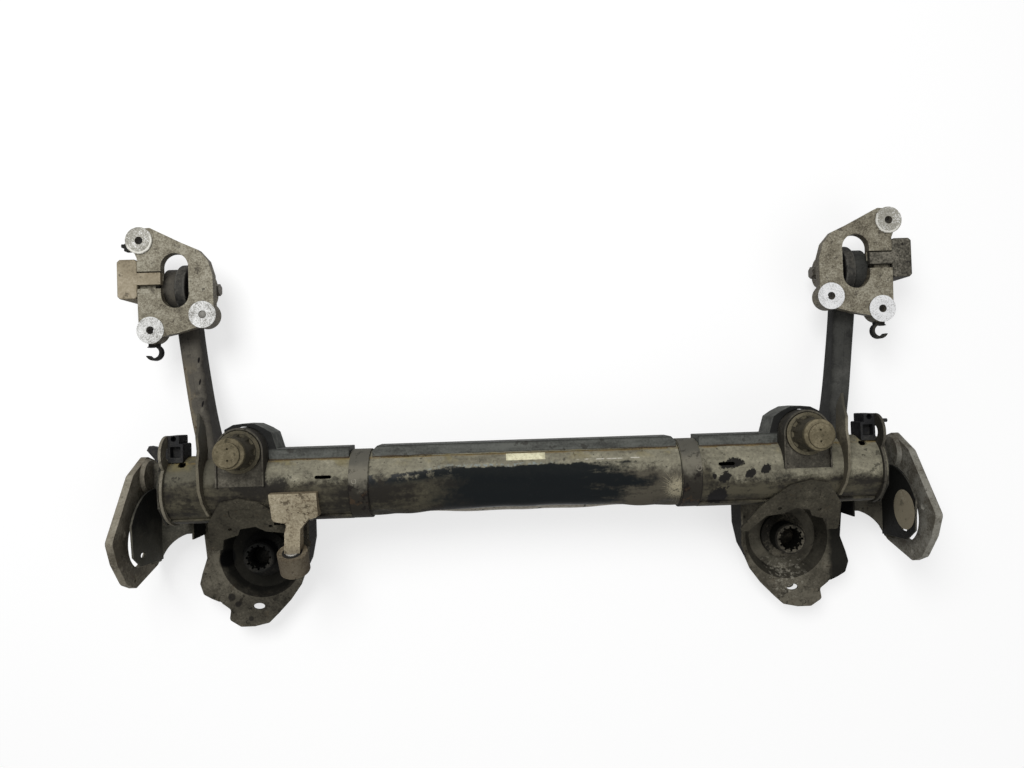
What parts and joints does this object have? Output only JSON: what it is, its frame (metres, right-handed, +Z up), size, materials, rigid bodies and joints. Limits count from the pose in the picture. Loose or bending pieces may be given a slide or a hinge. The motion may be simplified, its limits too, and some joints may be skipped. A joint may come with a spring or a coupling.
{
  "type": "rear axle beam",
  "caption": "Rear torsion-beam axle: a crushed cross tube with trailing arms, cast front brackets on rubber bushes, spring pans, bump stops and hub plates.",
  "frame": {"origin": "middle of the axle's plan, on the floor that the hub plates and the front bushes lie on", "axes": "+X across the vehicle to its right-hand side, +Y towards the vehicle's front, +Z up"},
  "size_m": [1.5168, 0.7745, 0.254],
  "materials": {
    "tube_steel": "worn black paint on a drawn tube, dusty, with bare grey-brown patches",
    "channel_steel": "matt grey folded sheet with rust along its edges",
    "arm_steel": "dusty black-grey pressed sheet with a welded seam",
    "pressed_steel": "dusty dark sheet with surface rust",
    "plate_steel": "dull light grey-beige thick plate, machined outer face",
    "pan_steel": "grey-brown pressed sheet with dust and black scuffs",
    "cast_alloy": "dirty speckled sand casting with machined boss faces",
    "cast_lug": "pale rough casting with dark rust specks",
    "bright_steel": "plated fastener steel, dulled",
    "rubber": "matt black moulded rubber",
    "bump_rubber": "olive-beige moulded elastomer",
    "bump_plastic": "olive-beige moulded cap",
    "black_plastic": "matt black moulded plastic"
  },
  "bodies": {
    "axle": {"cross_tube": "tube_steel", "front_channel": "channel_steel", "right_collar": "tube_steel", "left_collar": "tube_steel", "right_side_channel": "channel_steel", "left_side_channel": "channel_steel", "right_saddle": "pressed_steel", "left_saddle": "pressed_steel", "right_bump_stop": "bump_rubber", "left_bump_stop": "bump_rubber", "right_bump_cap": "bump_plastic", "left_bump_cap": "bump_plastic", "right_arm_outer_shell": "arm_steel", "left_arm_outer_shell": "arm_steel", "right_arm_inner_shell": "arm_steel", "left_arm_inner_shell": "arm_steel", "right_arm_side_plate": "arm_steel", "left_arm_side_plate": "arm_steel", "right_eye_ring": "arm_steel", "left_eye_ring": "arm_steel", "right_bush_rubber": "rubber", "left_bush_rubber": "rubber", "right_tube_shell": "tube_steel", "left_tube_shell": "tube_steel", "right_hub_plate": "plate_steel", "left_hub_plate": "plate_steel", "right_end_bracket": "pressed_steel", "left_end_bracket": "pressed_steel", "right_damper_lug": "pressed_steel", "left_damper_lug": "pressed_steel", "right_hose_block": "black_plastic", "left_hose_block": "black_plastic", "right_spring_pan": "pan_steel", "left_spring_pan": "pan_steel", "right_crown_plate": "pan_steel", "left_crown_plate": "pan_steel", "right_spring_seat": "black_plastic", "left_spring_seat": "black_plastic", "left_lug_clip": "black_plastic", "right_lug_peg": "bright_steel", "left_rod_lug": "cast_lug", "left_rod_bush": "rubber", "left_rod_sleeve": "bright_steel", "left_rod_bolts": "bright_steel"},
    "right_bracket": {"right_bush_sleeve": "bright_steel", "right_front_bracket": "cast_alloy", "right_pivot_bolt": "bright_steel", "right_pivot_nut": "bright_steel", "right_nut_keeper": "pressed_steel", "right_hose_hook": "pressed_steel"},
    "left_bracket": {"left_bush_sleeve": "bright_steel", "left_front_bracket": "cast_alloy", "left_pivot_bolt": "bright_steel", "left_pivot_nut": "bright_steel", "left_nut_keeper": "pressed_steel", "left_hose_hook": "pressed_steel", "left_edge_clip": "pressed_steel"}
  },
  "joints": [
    {"name": "right_bracket_pivot", "type": "hinge", "parent": "axle", "child": "right_bracket", "pos_m": [0.66, 0.27375, 0.05], "axis": [1, 0, 0], "range_deg": [-8, 8], "stiffness_Nm_per_rad": 120},
    {"name": "left_bracket_pivot", "type": "hinge", "parent": "axle", "child": "left_bracket", "pos_m": [-0.66, 0.27375, 0.05], "axis": [1, 0, 0], "range_deg": [-8, 8], "stiffness_Nm_per_rad": 120}
  ]
}
